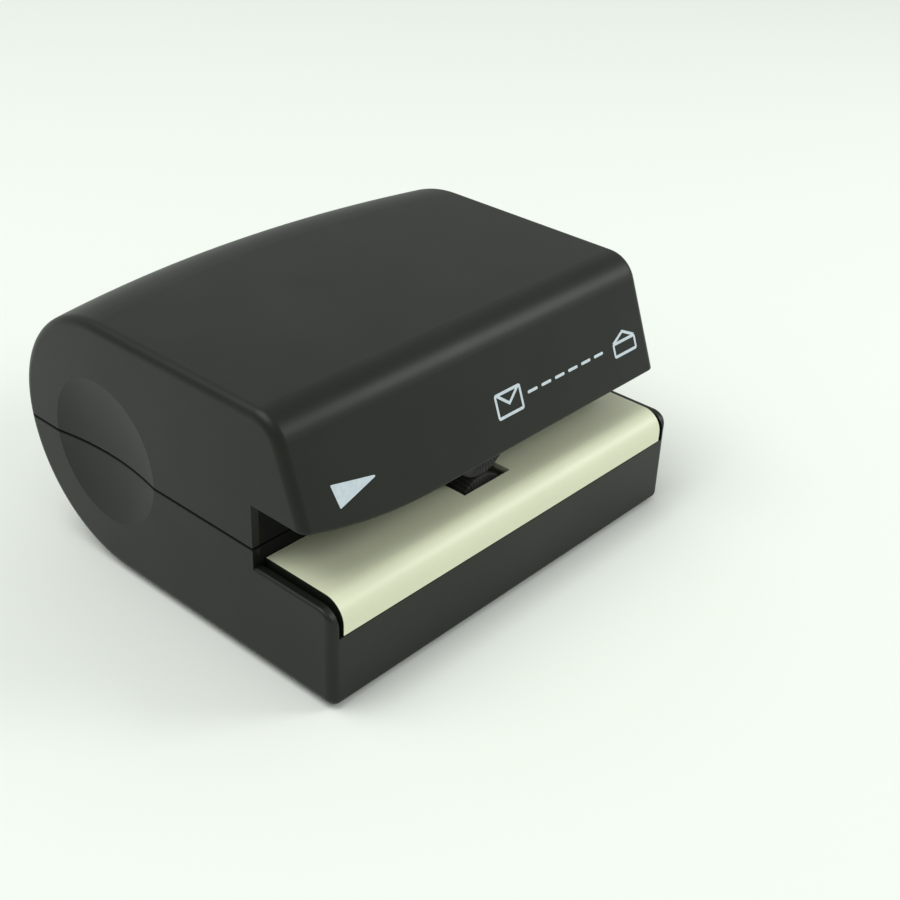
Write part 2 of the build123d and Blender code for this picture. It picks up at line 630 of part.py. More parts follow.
def upper_guide():
    """The plate above the letter: flared at the entry, with a window for the roller and knife."""
    room = inner_form(upper_front, WALL + FIT)
    back = THROAT_DEPTH - FIT
    above = throat_ceiling(GUIDE_HEIGHT + GUIDE_THICKNESS, 0, back, HEIGHT)
    below = throat_ceiling(GUIDE_HEIGHT, -BIG, BIG, HEIGHT)
    plate = (above - below) & room
    bridge_half = UPPER_PIT_HALF + WALL
    bridge = block(-bridge_half, bridge_half, 0, PIT_FRONT_Y, GUIDE_HEIGHT, GUIDE_HEIGHT + GUIDE_BRIDGE)
    plate += bridge & room
    plate -= block(-UPPER_PIT_HALF, UPPER_PIT_HALF, PIT_FRONT_Y, BIG, 0, HEIGHT)
    plate += lever_ears() + switch_wall()
    plate -= lever_window()
    for x, y in GUIDE_SCREW_PLACES:
        plate += rod_z(GUIDE_PAD_RADIUS, guide_level(x), guide_pad_top(x), x, y) - below
        plate -= rod_z(SCREW_HEAD_RADIUS + FIT, 0, guide_level(x) + SCREW_HEAD, x, y)
        plate -= rod_z(SCREW_RADIUS, 0, HEIGHT, x, y)
    return plate - rod_y(LEVER_PIN_RADIUS, 0, THROAT_DEPTH, LEVER_X, LEVER_HEIGHT)


def guide_screws():
    """The two screws that hold the guide plate, heads down."""
    screws = []
    for x, y in GUIDE_SCREW_PLACES:
        seat = guide_level(x) + SCREW_HEAD
        screw = screw_down(0, 0, 0, SCREW_LENGTH, SCREW_RADIUS, SCREW_HEAD_RADIUS, SCREW_HEAD)
        screws.append(Pos(x, y, seat) * Rot(180, 0, 0) * screw)
    return group(screws)


# ---- sensor lever and switch
def lever_ears():
    ears = []
    gap = LEVER_WIDTH / 2 + FIT
    for side in (-1, 1):
        y0, y1 = sorted((LEVER_Y + side * gap, LEVER_Y + side * (gap + EAR_THICKNESS)))
        ear = block(LEVER_X - EAR_RADIUS, LEVER_X + EAR_RADIUS, y0, y1, GUIDE_HEIGHT, LEVER_HEIGHT)
        ears.append(ear + rod_y(EAR_RADIUS, y0, y1, LEVER_X, LEVER_HEIGHT))
    return group(ears)


def lever_window():
    """The slot that the lever hangs and swings through."""
    drop = LEVER_HEIGHT - GUIDE_HEIGHT
    swing = radians(LEVER_SWING)
    half = LEVER_THICKNESS / 2
    x0 = LEVER_X - half - FIT
    x1 = LEVER_X + drop * sin(swing) / cos(swing) + half / cos(swing) + FIT
    gap = LEVER_WIDTH / 2 + FIT
    return block(x0, x1, LEVER_Y - gap, LEVER_Y + gap, 0, GUIDE_HEIGHT + GUIDE_THICKNESS)


def sensor_lever():
    """The lever that a letter pushes along, with a finger that presses the switch."""
    y0, y1 = LEVER_Y - LEVER_WIDTH / 2, LEVER_Y + LEVER_WIDTH / 2
    half = LEVER_THICKNESS / 2
    tip = TRAY_TOP + LEVER_CLEARANCE + half
    finger_z = LEVER_HEIGHT + LEVER_FINGER_REACH
    lever = rod_y(LEVER_HUB_RADIUS, y0, y1, LEVER_X, LEVER_HEIGHT)
    lever += block(LEVER_X - half, LEVER_X + half, y0, y1, tip, LEVER_HEIGHT)
    lever += rod_y(half, y0, y1, LEVER_X, tip)
    lever += block(
        LEVER_X - LEVER_FINGER_RADIUS, LEVER_X + LEVER_FINGER_RADIUS, y0, y1, LEVER_HEIGHT, finger_z)
    lever += rod_y(LEVER_FINGER_RADIUS, y0, y1, LEVER_X, finger_z)
    return lever - rod_y(LEVER_PIN_RADIUS + RUNNING_FIT, y0, y1, LEVER_X, LEVER_HEIGHT)


def lever_pin():
    reach = LEVER_WIDTH / 2 + FIT + EAR_THICKNESS
    return rod_y(LEVER_PIN_RADIUS, LEVER_Y - reach, LEVER_Y + reach, LEVER_X, LEVER_HEIGHT)


def switch_wall():
    """An upright wall on the guide plate that the switch is screwed to."""
    y0 = LEVER_Y + SWITCH_WIDTH / 2
    x0, x1 = SWITCH_FACE_X - SWITCH_LENGTH, SWITCH_FACE_X
    wall = block(x0, x1, y0, y0 + GUIDE_THICKNESS, GUIDE_HEIGHT + GUIDE_THICKNESS / 2, SWITCH_TOP)
    wall -= throat_ceiling(GUIDE_HEIGHT, -BIG, BIG, HEIGHT)
    for x in SWITCH_SCREW_X:
        wall -= rod_y(SWITCH_SCREW_RADIUS, 0, BIG, x, SWITCH_SCREW_Z)
    return wall


def switch_body():
    """A small switch with its plunger's bore and three tags."""
    y0, y1 = LEVER_Y - SWITCH_WIDTH / 2, LEVER_Y + SWITCH_WIDTH / 2
    body = block(SWITCH_FACE_X - SWITCH_LENGTH, SWITCH_FACE_X, y0, y1,
                 SWITCH_TOP - SWITCH_BODY_HEIGHT, SWITCH_TOP)
    bore_end = PLUNGER_TIP_X - PLUNGER_LENGTH - PLUNGER_TRAVEL - FIT
    body -= rod_x(PLUNGER_RADIUS + RUNNING_FIT, bore_end, SWITCH_FACE_X, LEVER_Y, SWITCH_Z)
    for x in SWITCH_SCREW_X:
        body -= rod_y(SWITCH_SCREW_RADIUS, y0, y1, x, SWITCH_SCREW_Z)
    return body


def switch_tags():
    """Three metal tags on top of the switch."""
    thickness, length, width = TERMINAL
    pitch = SWITCH_LENGTH / 3
    middle = SWITCH_FACE_X - SWITCH_LENGTH / 2
    return group(
        block(middle + k * pitch - thickness / 2, middle + k * pitch + thickness / 2,
              LEVER_Y - width / 2, LEVER_Y + width / 2, SWITCH_TOP, SWITCH_TOP + length)
        for k in (-1, 0, 1))


def switch_plunger():
    return rod_x(PLUNGER_RADIUS, PLUNGER_TIP_X - PLUNGER_LENGTH, PLUNGER_TIP_X, LEVER_Y, SWITCH_Z)


def switch_screws():
    """Two small screws through the switch into its wall, heads to the front."""
    y0 = LEVER_Y - SWITCH_WIDTH / 2
    reach = SWITCH_WIDTH + GUIDE_THICKNESS
    screw = screw_down(0, 0, 0, reach, SWITCH_SCREW_RADIUS, SWITCH_SCREW_HEAD_RADIUS, SCREW_HEAD)
    return group(Pos(x, y0, SWITCH_SCREW_Z) * Rot(90, 0, 0) * screw for x in SWITCH_SCREW_X)


# ---- chip tray
def tray_profile(inset, x0, x1):
    """The tray's cross-section, rounded at the front of the top, carried along X."""
    top = TRAY_TOP - inset
    bottom = TRAY_BOTTOM + inset
    radius = TRAY_NOSE - inset
    diagonal = radius * sqrt(0.5)
    centre = (TRAY_NOSE, TRAY_TOP - TRAY_NOSE)
    back = TRAY_BACK_Y - inset
    outline = [
        Line((back, top), (centre[0], top)),
        ThreePointArc(
            (centre[0], top), (centre[0] - diagonal, centre[1] + diagonal), (inset, centre[1])),
        Line((inset, centre[1]), (inset, bottom)),
        Line((inset, bottom), (back, bottom)),
        Line((back, bottom), (back, top)),
    ]
    return along_x(make_face(outline), x0, x1)


def chip_tray():
    """The drawer whose top is the letter's bed; it goes round the roller and catches the strips."""
    tray = tray_profile(0, -TRAY_HALF, TRAY_HALF)
    wing_start = LOWER_PIT_HALF + TRAY_WALL
    wing_end = TRAY_HALF - TRAY_WALL
    under = block(-BIG, BIG, -BIG, BIG, TRAY_BOTTOM - FIT, TRAY_BOTTOM + 2 * TRAY_WALL)
    left = tray_profile(TRAY_WALL, -wing_end, -wing_start)
    opening = block(-wing_end, -wing_start, TRAY_WALL, TRAY_BACK_Y - TRAY_WALL, 0, BIG)
    tray -= left + (opening & under)
    tray -= tray_profile(TRAY_WALL, wing_start, wing_end)
    pit_front = block(
        -LOWER_PIT_HALF, LOWER_PIT_HALF, TRAY_WALL, PIT_FRONT_Y - TRAY_WALL, 0, TRAY_TOP - TRAY_NOSE)
    tray -= pit_front
    plate_bottom = TRAY_TOP - TRAY_WALL
    knife_half = sqrt(KNIFE_RADIUS**2 - (plate_bottom - LOWER_SHAFT_Z) ** 2) + ROLLER_CLEARANCE
    tray -= block(-LOWER_PIT_HALF, LOWER_PIT_HALF, PIT_FRONT_Y, BIG, 0, plate_bottom)
    tray -= block(-knife_half, knife_half, PIT_FRONT_Y, BIG, 0, BIG)
    slot_start = wing_start + TRAY_WALL
    tray -= block(slot_start, slot_start + CHIP_SLOT_LENGTH, TRAY_BACK_Y - CHIP_SLOT_WIDTH, BIG,
                  TRAY_TOP - 2 * TRAY_WALL, BIG)
    return tray


# ---- gears
def involute(angle):
    return sin(angle) / cos(angle) - angle


def polar(radius, angle):
    return (radius * cos(angle), radius * sin(angle))


def gear(module, teeth, tooth_angle, x, y0, y1, z, bore):
    """A spur gear about Y with one tooth centred on an angle, measured from X towards Z."""
    pitch = module * teeth / 2
    base = pitch * cos(PRESSURE_ANGLE)
    tip = pitch + ADDENDUM * module
    root = pitch - DEDENDUM * module
    start = max(base, root)
    middle = (start + tip) / 2
    half_at_pitch = pi / (2 * teeth) - BACKLASH / (4 * pitch) + involute(PRESSURE_ANGLE)

    def half_width(radius):
        return half_at_pitch - involute(acos(min(1.0, base / radius)))

    edges = []
    for k in range(teeth):
        centre = tooth_angle + 2 * pi * k / teeth
        gap = centre + pi / teeth
        after = centre + 2 * pi / teeth
        rise = [polar(r, centre - half_width(r)) for r in (start, middle, tip)]
        fall = [polar(r, centre + half_width(r)) for r in (tip, middle, start)]
        foot = polar(root, centre - half_width(start))
        heel = polar(root, centre + half_width(start))
        next_foot = polar(root, after - half_width(start))
        if root < base:
            edges += [Line(foot, rise[0]), Line(fall[2], heel)]
        edges += [
            ThreePointArc(*rise),
            ThreePointArc(rise[2], polar(tip, centre), fall[0]),
            ThreePointArc(*fall),
            ThreePointArc(heel, polar(root, gap), next_foot),
        ]
    wheel = Pos(x, 0, z) * along_y(make_face(edges), y0, y1)
    return wheel - rod_y(bore, y0, y1, x, z)


def meshing_angle(tooth_angle, teeth, other_teeth, direction):
    """Angle of a tooth of the other gear, so that it meshes in the given direction."""
    return direction + pi - (tooth_angle - direction) * teeth / other_teeth + pi / other_teeth


LOWER_TOOTH = pi / 2
UPPER_TOOTH = meshing_angle(LOWER_TOOTH, SYNC_TEETH, SYNC_TEETH, pi / 2)
IDLER_TOOTH = meshing_angle(LOWER_TOOTH, SYNC_TEETH, IDLER_TEETH, radians(IDLER_DIRECTION))
PINION_TOOTH = meshing_angle(0.0, WHEEL_TEETH, PINION_TEETH, radians(MOTOR_DIRECTION))


def sync_gear(shaft_z, tooth_angle):
    return gear(SYNC_MODULE, SYNC_TEETH, tooth_angle, 0, SYNC_Y, SYNC_Y + SYNC_WIDTH, shaft_z, SHAFT_RADIUS)


def idler_gear():
    """The compound idler: a large wheel driven by the motor and a small one that drives the shafts."""
    bore = AXLE_RADIUS + RUNNING_FIT
    wheel_end = WHEEL_Y + WHEEL_WIDTH
    small = gear(SYNC_MODULE, IDLER_TEETH, IDLER_TOOTH, IDLER_X, SYNC_Y, WHEEL_Y, IDLER_Z, bore)
    large = gear(DRIVE_MODULE, WHEEL_TEETH, 0.0, IDLER_X, WHEEL_Y, wheel_end, IDLER_Z, bore)
    return small + large


def motor_pinion():
    return gear(DRIVE_MODULE, PINION_TEETH, PINION_TOOTH, MOTOR_X, WHEEL_Y, WHEEL_Y + WHEEL_WIDTH,
                MOTOR_Z, MOTOR_SHAFT_RADIUS)


# ---- shafts, rollers and knives
def feed_shaft(shaft_z):
    """A shaft with a groove for its clip behind the rear plate."""
    groove_y = REAR_PLATE_BACK_Y + BUSH_FLANGE
    shaft = rod_y(SHAFT_RADIUS, SHAFT_FRONT_Y, SHAFT_BACK_Y, 0, shaft_z)
    ring = rod_y(SHAFT_RADIUS, groove_y, groove_y + CLIP_THICKNESS, 0, shaft_z)
    ring -= rod_y(SHAFT_RADIUS - CLIP_GROOVE, groove_y, groove_y + CLIP_THICKNESS, 0, shaft_z)
    return shaft - ring


def shaft_clip(shaft_z):
    """A spring clip, open on one side, that sits in the shaft's groove."""
    y0 = REAR_PLATE_BACK_Y + BUSH_FLANGE
    y1 = y0 + CLIP_THICKNESS
    bore = SHAFT_RADIUS - CLIP_GROOVE
    clip = rod_y(CLIP_RADIUS, y0, y1, 0, shaft_z) - rod_y(bore, y0, y1, 0, shaft_z)
    return clip - block(-bore, bore, y0, y1, shaft_z, shaft_z + CLIP_RADIUS)


def roller_core(radius, shaft_z):
    y0, y1 = ROLLER_FRONT_Y, ROLLER_FRONT_Y + ROLLER_WIDTH
    core = rod_y(radius - TYRE_THICKNESS, y0, y1, 0, shaft_z)
    return core - rod_y(SHAFT_RADIUS, y0, y1, 0, shaft_z)


def roller_tyre(radius, shaft_z):
    """The rubber tyre of a feed roller, with rounded shoulders."""
    y0, y1 = ROLLER_FRONT_Y, ROLLER_FRONT_Y + ROLLER_WIDTH
    tyre = rod_y(radius, y0, y1, 0, shaft_z)
    tyre = fillet(tyre.edges().filter_by(GeomType.CIRCLE), TYRE_ROUND)
    return tyre - rod_y(radius - TYRE_THICKNESS, y0, y1, 0, shaft_z)


def round_knife(shaft_z, y0, bevel_front):
    """A disc knife, ground to an edge by a bevel on the side away from the other knife."""
    y1 = y0 + KNIFE_THICKNESS
    disc = rod_y(KNIFE_RADIUS, y0, y1, 0, shaft_z)
    rims = disc.edges().filter_by(GeomType.CIRCLE).sort_by(Axis.Y)
    rim = rims[0] if bevel_front else rims[-1]
    disc = chamfer(rim, KNIFE_BEVEL)
    return disc - rod_y(SHAFT_RADIUS, y0, y1, 0, shaft_z)


def knife_collar(shaft_z, y1):
    """The spacer ring between a roller and its knife."""
    y0 = ROLLER_FRONT_Y + ROLLER_WIDTH
    return rod_y(KNIFE_HUB_RADIUS, y0, y1, 0, shaft_z) - rod_y(SHAFT_RADIUS, y0, y1, 0, shaft_z)


# ---- mechanism frame
def frame_plate(y0, flange_front, bores):
    """An upright plate with rounded top corners and a flange along its foot."""
    y1 = y0 + PLATE_THICKNESS
    plate = block(PLATE_LEFT, PLATE_RIGHT, y0, y1, PLATE_BOTTOM, PLATE_TOP)
    corners = plate.edges().filter_by(Axis.Y).group_by(Axis.Z)[-1]
    plate = fillet(corners, PLATE_ROUND)
    f0, f1 = (y0 - FLANGE_DEPTH, y1) if flange_front else (y0, y1 + FLANGE_DEPTH)
    plate += block(PLATE_LEFT, PLATE_RIGHT, f0, f1, PLATE_BOTTOM, PLATE_BOTTOM + PLATE_THICKNESS)
    for radius, x, z in bores:
        plate -= rod_y(radius, y0, y1, x, z)
    for x, y in FLANGE_PLACES:
        plate -= rod_z(SCREW_RADIUS, 0, PLATE_BOTTOM + PLATE_THICKNESS, x, y)
    return plate


def shared_bores():
    """The holes that both plates have: two bushes, the idler's axle and the spacer screws."""
    bores = [(BUSH_RADIUS, 0, LOWER_SHAFT_Z), (BUSH_RADIUS, 0, UPPER_SHAFT_Z)]
    bores.append((AXLE_RADIUS, IDLER_X, IDLER_Z))
    return bores + [(SCREW_RADIUS, x, z) for x, z in SPACER_PLACES]


def front_plate():
    return frame_plate(FRONT_PLATE_Y, False, shared_bores())


def rear_plate():
    """The plate that also carries the motor."""
    bores = shared_bores() + [(MOTOR_BOSS_RADIUS, MOTOR_X, MOTOR_Z)]
    bores += [(SCREW_RADIUS, x, z) for x, z in motor_screw_places()]
    return frame_plate(REAR_PLATE_Y, True, bores)


def motor_screw_places():
    return [(MOTOR_X + side * MOTOR_SCREW_REACH, MOTOR_Z) for side in (-1, 1)]


def plate_spacers():
    y0, y1 = FRONT_PLATE_Y + PLATE_THICKNESS, REAR_PLATE_Y
    return group(
        rod_y(SPACER_RADIUS, y0, y1, x, z) - rod_y(SCREW_RADIUS, y0, y1, x, z)
        for x, z in SPACER_PLACES)


def spacer_screws():
    """Short screws into both ends of every spacer."""
    reach = PLATE_THICKNESS + SPACER_SCREW_BITE
    screw = screw_down(0, 0, 0, reach, SCREW_RADIUS, SCREW_HEAD_RADIUS, SCREW_HEAD)
    screws = []
    for x, z in SPACER_PLACES:
        screws.append(Pos(x, FRONT_PLATE_Y, z) * Rot(90, 0, 0) * screw)
        screws.append(Pos(x, REAR_PLATE_BACK_Y, z) * Rot(-90, 0, 0) * screw)
    return group(screws)


def shaft_bush(shaft_z, plate_y, flange_front):
    """A flanged bush in a plate, its flange outside the plate."""
    y0, y1 = plate_y, plate_y + PLATE_THICKNESS
    flange = (y0 - BUSH_FLANGE, y0) if flange_front else (y1, y1 + BUSH_FLANGE)
    bush = rod_y(BUSH_RADIUS, y0, y1, 0, shaft_z) + rod_y(BUSH_FLANGE_RADIUS, *flange, 0, shaft_z)
    return bush - rod_y(SHAFT_RADIUS + RUNNING_FIT, y0 - WALL, y1 + WALL, 0, shaft_z)


def shaft_bushes():
    heights = (LOWER_SHAFT_Z, UPPER_SHAFT_Z)
    return group(
        [shaft_bush(z, FRONT_PLATE_Y, True) for z in heights]
        + [shaft_bush(z, REAR_PLATE_Y, False) for z in heights])


def idler_axle():
    return rod_y(AXLE_RADIUS, FRONT_PLATE_Y, REAR_PLATE_BACK_Y, IDLER_X, IDLER_Z)


def flange_screws():
    return group(frame_screw(x, y, PLATE_BOTTOM + PLATE_THICKNESS) for x, y in FLANGE_PLACES)


# ---- motor
def motor_section(radius, flat, y0, y1):
    """A round section with two flat sides, above and below."""
    section = rod_y(radius, y0, y1, MOTOR_X, MOTOR_Z)
    return section & block(-BIG, BIG, y0, y1, MOTOR_Z - flat, MOTOR_Z + flat)


def motor_can():
    """The steel can with its bearing boss in the rear plate, open at the back for the end cap."""
    y0, y1 = REAR_PLATE_BACK_Y, MOTOR_BACK_Y - MOTOR_CAP
    can = motor_section(MOTOR_RADIUS, MOTOR_FLAT, y0, y1)
    can -= motor_section(MOTOR_RADIUS - MOTOR_WALL, MOTOR_FLAT - MOTOR_WALL, y0 + MOTOR_WALL, y1)
    can += rod_y(MOTOR_BOSS_RADIUS, REAR_PLATE_Y, y0 + MOTOR_WALL, MOTOR_X, MOTOR_Z)
    can -= rod_y(MOTOR_SHAFT_RADIUS + RUNNING_FIT, REAR_PLATE_Y, y1, MOTOR_X, MOTOR_Z)
    for x, z in motor_screw_places():
        can -= rod_y(SCREW_RADIUS, y0, y0 + MOTOR_WALL, x, z)
    return can


def motor_cap():
    """The plastic end cap with the rear bearing."""
    y0, y1 = MOTOR_BACK_Y - MOTOR_CAP, MOTOR_BACK_Y
    cap = motor_section(MOTOR_RADIUS, MOTOR_FLAT, y0, y1)
    cap += rod_y(MOTOR_BOSS_RADIUS, y1, y1 + MOTOR_WALL, MOTOR_X, MOTOR_Z)
    return cap - rod_y(MOTOR_SHAFT_RADIUS + RUNNING_FIT, y0, y1 + MOTOR_WALL, MOTOR_X, MOTOR_Z)


def motor_tags():
    """The two terminals on the end cap."""
    thickness, length, width = TERMINAL
    reach = (MOTOR_RADIUS + MOTOR_BOSS_RADIUS) / 2
    tags = []
    for side in (-1, 1):
        x = MOTOR_X + side * reach
        tags.append(block(x - width / 2, x + width / 2, MOTOR_BACK_Y, MOTOR_BACK_Y + length,
                          MOTOR_Z - thickness / 2, MOTOR_Z + thickness / 2))
    return group(tags)


def motor_shaft():
    return rod_y(MOTOR_SHAFT_RADIUS, WHEEL_Y, MOTOR_BACK_Y + MOTOR_WALL, MOTOR_X, MOTOR_Z)


def motor_armature():
    y0 = REAR_PLATE_BACK_Y + MOTOR_WALL + ARMATURE_SPACE
    y1 = MOTOR_BACK_Y - MOTOR_CAP - ARMATURE_SPACE
    armature = rod_y(ARMATURE_RADIUS, y0, y1, MOTOR_X, MOTOR_Z)
    return armature - rod_y(MOTOR_SHAFT_RADIUS, y0, y1, MOTOR_X, MOTOR_Z)


def motor_screws():
    """Two short screws through the rear plate into the motor's face."""
    reach = PLATE_THICKNESS + MOTOR_WALL
    screw = screw_down(0, 0, 0, reach, SCREW_RADIUS, SCREW_HEAD_RADIUS, SCREW_HEAD)
    return group(Pos(x, REAR_PLATE_Y, z) * Rot(90, 0, 0) * screw for x, z in motor_screw_places())


# ---- battery tub, cells, contacts and door
def battery_tub():
    """A box open below that holds the cells, with two lugs along its front, screwed to posts."""
    half_length = TUB_HALF + TUB_WALL
    y0, y1 = TUB_FRONT_Y - TUB_WALL, TUB_BACK_Y + TUB_WALL
    tub = block(-half_length, half_length, y0, y1, WALL + FIT, TUB_CEILING + TUB_WALL)
    tub -= block(-TUB_HALF, TUB_HALF, TUB_FRONT_Y, TUB_BACK_Y, 0, TUB_CEILING)
    half = TUB_LUG_WIDTH / 2
    for x, y in TUB_LUG_PLACES:
        x0, x1 = x - TUB_LUG_LENGTH / 2, x + TUB_LUG_LENGTH / 2
        tub += block(x0, x1, y - half, y + half + FIT, TUB_LUG_HEIGHT, TUB_LUG_HEIGHT + PLATE_THICKNESS)
        tub -= rod_z(SCREW_RADIUS, 0, TUB_CEILING, x, y)
    ear_half = DOOR_PIN_RADIUS + CASE_BOSS_WALL + FIT
    ear_top = DOOR_AXIS_Z + ear_half
    return tub - block(-BIG, BIG, DOOR_AXIS_Y - ear_half, DOOR_AXIS_Y + ear_half, 0, ear_top)


def tub_screws():
    return group(frame_screw(x, y, TUB_LUG_HEIGHT + PLATE_THICKNESS) for x, y in TUB_LUG_PLACES)


def cell(row, end):
    """One cell: a can with a raised end; the two rows point opposite ways."""
    y = CELL_ROWS_Y + row * CELL_PITCH / 2
    x0 = min(0, end * CELL_LENGTH)
    x1 = x0 + CELL_LENGTH
    if row > 0:
        can = rod_x(CELL_RADIUS, x0, x1 - CELL_NUB, y, CELL_Z)
        nub = rod_x(CELL_NUB_RADIUS, x1 - CELL_NUB, x1, y, CELL_Z)
    else:
        can = rod_x(CELL_RADIUS, x0 + CELL_NUB, x1, y, CELL_Z)
        nub = rod_x(CELL_NUB_RADIUS, x0, x0 + CELL_NUB, y, CELL_Z)
    can = fillet(can.edges().filter_by(GeomType.CIRCLE), CELL_ROUND)
    return can + nub


def contact_pad(side, row):
    """The part of a contact that reaches from the tub's end to a cell."""
    y = CELL_ROWS_Y + row * CELL_PITCH / 2
    ends = sorted((side * CELL_LENGTH, side * (TUB_HALF - CONTACT_THICKNESS / 2)))
    return rod_x(CONTACT_RADIUS, *ends, y, CELL_Z)


def contact_plate(side, y0, y1):
    ends = sorted((side * (TUB_HALF - CONTACT_THICKNESS), side * TUB_HALF))
    return block(*ends, y0, y1, CELL_Z - CELL_RADIUS / 2, CELL_Z + CELL_RADIUS / 2)


def contact_bridge():
    """The strip at the entry end that joins the two rows."""
    reach = CELL_PITCH / 2 + CONTACT_RADIUS
    strip = contact_plate(-1, CELL_ROWS_Y - reach, CELL_ROWS_Y + reach)
    return strip + contact_pad(-1, -1) + contact_pad(-1, 1)


def end_contact(row):
    """One of the two contacts at the exit end."""
    y = CELL_ROWS_Y + row * CELL_PITCH / 2
    strip = contact_plate(1, y - CELL_RADIUS / 2, y + CELL_RADIUS / 2)
    return strip + contact_pad(1, row)


def battery_door():
    """The door under the cells, on a barrel with a pin at each end, with a dished finger grip."""
    half = TUB_HALF - DOOR_GAP
    free_edge = TUB_BACK_Y - DOOR_GAP
    door = block(-half, half, DOOR_AXIS_Y, free_edge, 0, DOOR_THICKNESS)
    door += rod_x(DOOR_BARREL_RADIUS, -half, half, DOOR_AXIS_Y, DOOR_AXIS_Z)
    reach = EAR_START_X + DOOR_PIN_LENGTH
    door += rod_x(DOOR_PIN_RADIUS, -reach, reach, DOOR_AXIS_Y, DOOR_AXIS_Z)
    grip_y = free_edge - DOOR_GRIP_RADIUS - DOOR_GAP
    return door - rod_z(DOOR_GRIP_RADIUS, -DOOR_THICKNESS, DOOR_GRIP_DEPTH, 0, grip_y)


# ---- outside screws and feet
def housing_screws():
    """The four long screws, heads down in the lower shell, that hold the shells together."""
    reach = CASE_SCREW_GRIP + CASE_SCREW_BITE
    screw = screw_down(0, 0, 0, reach, CASE_SCREW_RADIUS, CASE_SCREW_HEAD_RADIUS, CASE_SCREW_HEAD)
    return group(Pos(x, y, CASE_HEAD_SEAT) * Rot(180, 0, 0) * screw for x, y in CASE_SCREW_PLACES)


def rubber_feet():
    return group(rod_z(FOOT_RADIUS, -FOOT_HEIGHT, recess_top, x, y) for x, y, recess_top in FOOT_PLACES)


# ---- the whole
PIECES = {
    "lower_housing": lower_housing(),
    "upper_housing": upper_housing(),
    "upper_guide": upper_guide(),
    "guide_screws": guide_screws(),
    "chip_tray": chip_tray(),
    "sensor_lever": sensor_lever(),
    "lever_pin": lever_pin(),
    "switch_body": switch_body(),
    "switch_tags": switch_tags(),
    "switch_plunger": switch_plunger(),
    "switch_screws": switch_screws(),
    "lower_shaft": feed_shaft(LOWER_SHAFT_Z),
    "upper_shaft": feed_shaft(UPPER_SHAFT_Z),
    "lower_shaft_clip": shaft_clip(LOWER_SHAFT_Z),
    "upper_shaft_clip": shaft_clip(UPPER_SHAFT_Z),
    "lower_roller_core": roller_core(LOWER_ROLLER_RADIUS, LOWER_SHAFT_Z),
    "upper_roller_core": roller_core(UPPER_ROLLER_RADIUS, UPPER_SHAFT_Z),
    "lower_roller_tyre": roller_tyre(LOWER_ROLLER_RADIUS, LOWER_SHAFT_Z),
    "upper_roller_tyre": roller_tyre(UPPER_ROLLER_RADIUS, UPPER_SHAFT_Z),
    "lower_knife": round_knife(LOWER_SHAFT_Z, CUT_Y - KNIFE_THICKNESS, True),
    "upper_knife": round_knife(UPPER_SHAFT_Z, CUT_Y + KNIFE_GAP, False),
    "lower_knife_collar": knife_collar(LOWER_SHAFT_Z, CUT_Y - KNIFE_THICKNESS),
    "upper_knife_collar": knife_collar(UPPER_SHAFT_Z, CUT_Y + KNIFE_GAP),
    "lower_gear": sync_gear(LOWER_SHAFT_Z, LOWER_TOOTH),
    "upper_gear": sync_gear(UPPER_SHAFT_Z, UPPER_TOOTH),
    "idler_gear": idler_gear(),
    "idler_axle": idler_axle(),
    "motor_pinion": motor_pinion(),
    "motor_shaft": motor_shaft(),
    "motor_armature": motor_armature(),
    "motor_can": motor_can(),
    "motor_cap": motor_cap(),
    "motor_tags": motor_tags(),
    "motor_screws": motor_screws(),
    "front_plate": front_plate(),
    "rear_plate": rear_plate(),
    "plate_spacers": plate_spacers(),
    "spacer_screws": spacer_screws(),
    "shaft_bushes": shaft_bushes(),
    "flange_screws": flange_screws(),
    "battery_tub": battery_tub(),
    "tub_screws": tub_screws(),
    "cell_front_left": cell(-1, -1),
    "cell_front_right": cell(-1, 1),
    "cell_rear_left": cell(1, -1),
    "cell_rear_right": cell(1, 1),
    "contact_bridge": contact_bridge(),
    "contact_front": end_contact(-1),
    "contact_rear": end_contact(1),
    "battery_door": battery_door(),
    "housing_screws": housing_screws(),
    "rubber_feet": rubber_feet(),
}

os.makedirs("parts", exist_ok=True)
to_frame = Location((0, -DEPTH / 2, FOOT_HEIGHT))
for name, piece in PIECES.items():
    export_step(piece.moved(to_frame), f"parts/{name}.step")
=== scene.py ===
from math import cos, pi, radians, sin

import bpy
import numpy as np
from mathutils import Matrix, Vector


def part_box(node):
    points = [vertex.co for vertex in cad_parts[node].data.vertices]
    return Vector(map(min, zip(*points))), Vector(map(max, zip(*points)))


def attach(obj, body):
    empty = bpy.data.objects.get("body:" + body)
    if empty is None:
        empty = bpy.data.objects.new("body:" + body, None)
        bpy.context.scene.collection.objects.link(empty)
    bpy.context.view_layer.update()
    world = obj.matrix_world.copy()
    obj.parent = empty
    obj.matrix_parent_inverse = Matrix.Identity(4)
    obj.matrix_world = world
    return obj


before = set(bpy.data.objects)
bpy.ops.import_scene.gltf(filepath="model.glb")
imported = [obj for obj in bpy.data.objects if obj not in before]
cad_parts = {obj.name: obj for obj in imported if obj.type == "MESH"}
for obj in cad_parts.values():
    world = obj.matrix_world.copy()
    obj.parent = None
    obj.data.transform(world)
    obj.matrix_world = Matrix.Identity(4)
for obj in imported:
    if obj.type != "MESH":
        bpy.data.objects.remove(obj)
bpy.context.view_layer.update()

# The camera stands left of and above the front, as the picture was taken: its turn about the
# machine, its height, its slight roll and its lens were fitted to straight edges of the shells.
MM = 0.001
CAMERA_PLACE = (-242.8 * MM, -248.5 * MM, 228.2 * MM)
CAMERA_TURN = radians(-49.154)
CAMERA_LIFT = radians(31.724)
CAMERA_ROLL = radians(2.522)
CAMERA_FOCAL_PIXELS = 1403.7
PICTURE_PIXELS = 900
PICTURE_CENTRE_DROP = 15
SENSOR_WIDTH = 36.0


